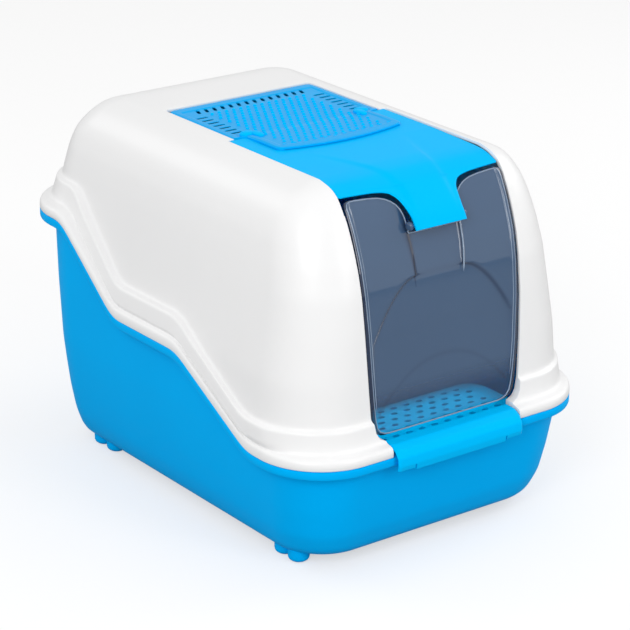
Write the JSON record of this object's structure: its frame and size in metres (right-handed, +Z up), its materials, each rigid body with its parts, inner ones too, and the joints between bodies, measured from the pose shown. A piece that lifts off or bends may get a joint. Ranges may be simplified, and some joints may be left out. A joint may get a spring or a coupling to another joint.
{
  "type": "hooded cat litter box",
  "caption": "Covered cat litter box: a deep tray under a rounded lift-off hood, with a see-through swing door, a roof flap, a perforated vent cover, an entry grate and a front clip.",
  "frame": {"origin": "on the floor under the middle of the box", "axes": "+X across from the left to the right side, -Y towards the door, +Z up"},
  "size_m": [0.39, 0.548, 0.4],
  "materials": {
    "tray_blue": "glossy moulded polypropylene",
    "hood_white": "glossy moulded polypropylene",
    "flap_blue": "satin moulded polypropylene",
    "pin_blue": "plain moulded pin",
    "smoked_clear": "smoked clear polystyrene",
    "carbon_felt": "needled carbon felt"
  },
  "bodies": {
    "tray": {"base_tray": "tray_blue", "clip_pin_left": "pin_blue", "clip_pin_right": "pin_blue", "grate_pin_left": "pin_blue", "grate_pin_right": "pin_blue"},
    "hood": {"hood": "hood_white", "roof_pin_left": "pin_blue", "roof_pin_right": "pin_blue"},
    "bonnet": {"bonnet": "flap_blue", "filter_pad": "carbon_felt", "door_pin_left": "pin_blue", "door_pin_right": "pin_blue"},
    "vent_cover": {"vent_cover": "flap_blue"},
    "door": {"door": "smoked_clear"},
    "front_clip": {"front_clip": "flap_blue"},
    "entry_grate": {"entry_grate": "flap_blue"}
  },
  "joints": [
    {"name": "hood_lift", "type": "slide", "parent": "tray", "child": "hood", "axis": [0, 0, 1], "range_m": [0, 0.25]},
    {"name": "flap_open", "type": "hinge", "parent": "hood", "child": "bonnet", "pos_m": [0, 0.1135, 0.3915], "axis": [-1, 0, 0], "range_deg": [0, 70]},
    {"name": "cover_lift", "type": "slide", "parent": "bonnet", "child": "vent_cover", "axis": [0, 0, 1], "range_m": [0, 0.04]},
    {"name": "door_swing", "type": "hinge", "parent": "bonnet", "child": "door", "pos_m": [0, -0.222, 0.35], "axis": [1, 0, 0], "range_deg": [-60, 50]},
    {"name": "clip_open", "type": "hinge", "parent": "tray", "child": "front_clip", "pos_m": [0, -0.2655, 0.113], "axis": [1, 0, 0], "range_deg": [0, 95]},
    {"name": "grate_tilt", "type": "hinge", "parent": "tray", "child": "entry_grate", "pos_m": [0, -0.234, 0.123], "axis": [1, 0, 0], "range_deg": [0, 40]}
  ]
}
